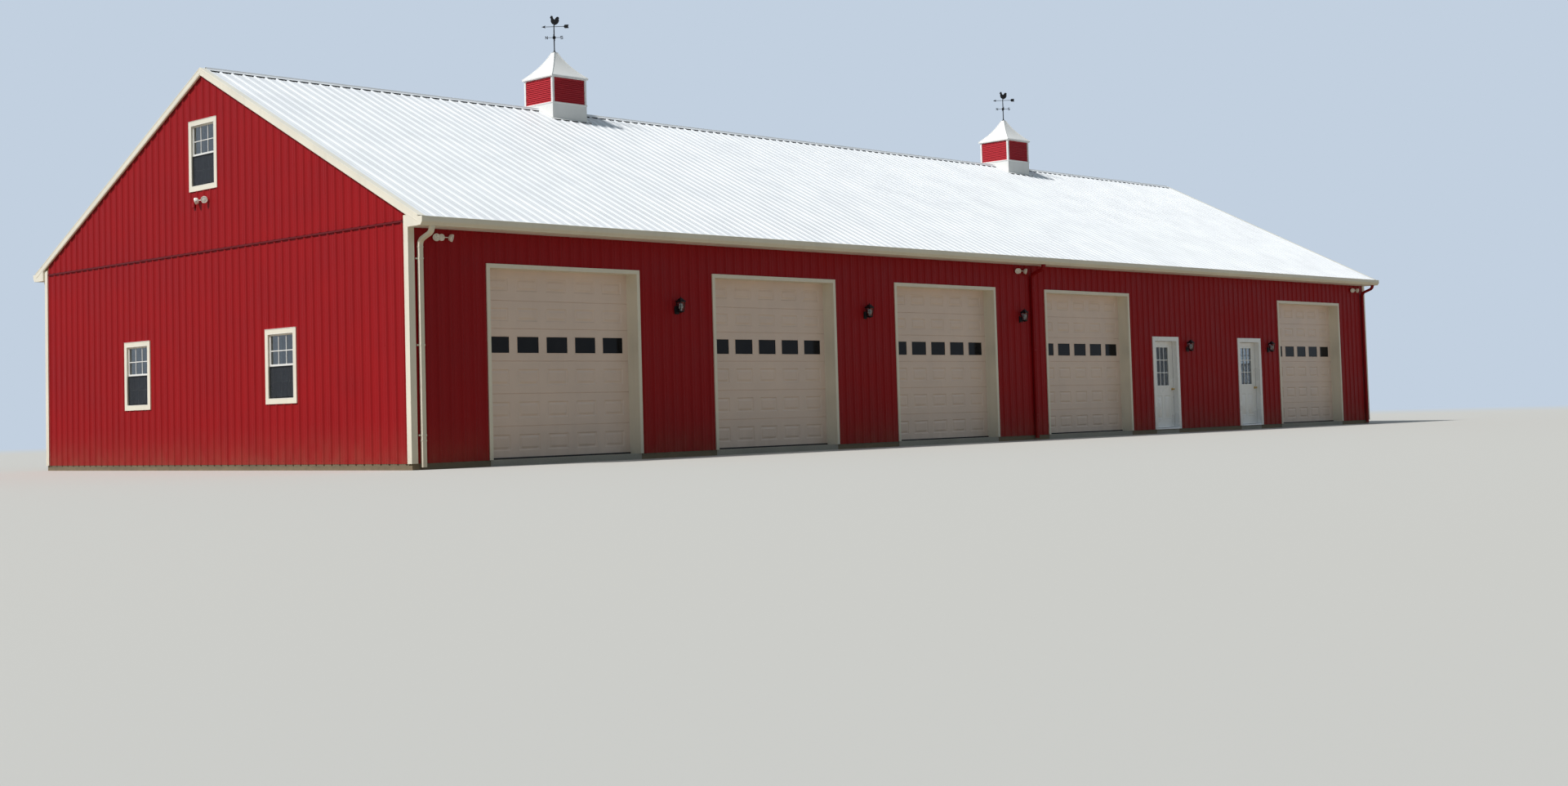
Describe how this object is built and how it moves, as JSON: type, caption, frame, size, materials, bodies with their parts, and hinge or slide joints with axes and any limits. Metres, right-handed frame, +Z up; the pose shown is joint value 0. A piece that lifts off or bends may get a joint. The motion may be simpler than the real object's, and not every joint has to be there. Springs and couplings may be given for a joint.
{
  "type": "shop building",
  "caption": "Long single-storey shop building: ribbed metal walls and gable roof, overhead doors, swinging entry doors, sash windows and louvred cupolas with weathervanes.",
  "frame": {"origin": "middle of the building's plan, at ground level", "axes": "+X along the building to its right end as seen from the front, +Y from the front wall with the doors to the back wall, +Z up"},
  "size_m": [32.028, 13.082, 9.1813],
  "materials": {
    "concrete": "trowelled grey concrete",
    "treated_wood": "pressure-treated board",
    "framing": "sawn softwood framing",
    "red_sheet": "satin barn-red paint",
    "white_sheet": "satin white paint",
    "cream_trim": "satin cream paint",
    "dark_red_trim": "satin dark red paint",
    "white_trim": "satin white paint",
    "tan_door": "embossed tan steel",
    "glass": "clear",
    "sill_metal": "mill finish",
    "white_door": "satin white paint",
    "brass": "polished",
    "screen_mesh": "woven mesh",
    "black_metal": "satin black paint",
    "white_lamp": "gloss white",
    "red_louvre": "satin barn-red paint"
  },
  "bodies": {
    "building": {"floor_slab": "concrete", "side_skirt_boards": "treated_wood", "gable_skirt_boards": "treated_wood", "front_wall_piers": "framing", "front_wall_header": "framing", "front_wall_over_entry_doors": "framing", "back_wall": "framing", "gable_walls": "framing", "front_siding": "red_sheet", "back_siding": "red_sheet", "gable_siding": "red_sheet", "corner_trims": "cream_trim", "gable_band_trims": "dark_red_trim", "front_truss_top_chords": "framing", "back_truss_top_chords": "framing", "truss_bottom_chords": "framing", "truss_webs": "framing", "roof_purlins": "framing", "front_roof_sheet": "white_sheet", "back_roof_sheet": "white_sheet", "ridge_cap": "white_sheet", "front_rake_trims": "cream_trim", "back_rake_trims": "cream_trim", "fascias": "cream_trim", "soffits": "white_trim", "eave_end_plates": "cream_trim", "gutters": "cream_trim", "cream_downspouts": "cream_trim", "red_downspouts": "red_sheet", "overhead_door_side_trims": "cream_trim", "overhead_door_head_trims": "cream_trim", "overhead_doors": "tan_door", "overhead_door_glass": "glass", "entry_door_jambs": "cream_trim", "entry_door_heads": "cream_trim", "entry_door_sills": "sill_metal", "entry_door_hinges": "brass", "window_frames": "cream_trim", "window_sashes": "white_trim", "window_glass": "glass", "window_screens": "screen_mesh", "wall_lanterns": "black_metal", "lantern_glass": "glass", "floodlights": "white_lamp", "gable_junction_boxes": "red_sheet", "cupola_bases": "white_trim", "cupola_frames": "white_trim", "cupola_louvres": "red_louvre", "cupola_roofs": "white_sheet", "vane_masts": "black_metal"},
    "left_entry_door": {"left_entry_door": "white_door", "left_entry_door_glass": "glass", "left_entry_door_hardware": "brass"},
    "right_entry_door": {"right_entry_door": "white_door", "right_entry_door_glass": "glass", "right_entry_door_hardware": "brass"},
    "left_weathervane": {"left_weathervane": "black_metal"},
    "right_weathervane": {"right_weathervane": "black_metal"}
  },
  "joints": [
    {"name": "left_entry_door_hinge", "type": "hinge", "parent": "building", "child": "left_entry_door", "pos_m": [5.2289, -5.944, 0.137], "axis": [0, 0, 1], "range_deg": [0, 100]},
    {"name": "right_entry_door_hinge", "type": "hinge", "parent": "building", "child": "right_entry_door", "pos_m": [9.0897, -5.944, 0.137], "axis": [0, 0, 1], "range_deg": [0, 100]},
    {"name": "left_vane_spin", "type": "hinge", "parent": "building", "child": "left_weathervane", "pos_m": [-7.7184, 0, 8.8703], "axis": [0, 0, 1], "continuous": true},
    {"name": "right_vane_spin", "type": "hinge", "parent": "building", "child": "right_weathervane", "pos_m": [7.8264, 0, 8.8703], "axis": [0, 0, 1], "continuous": true}
  ]
}
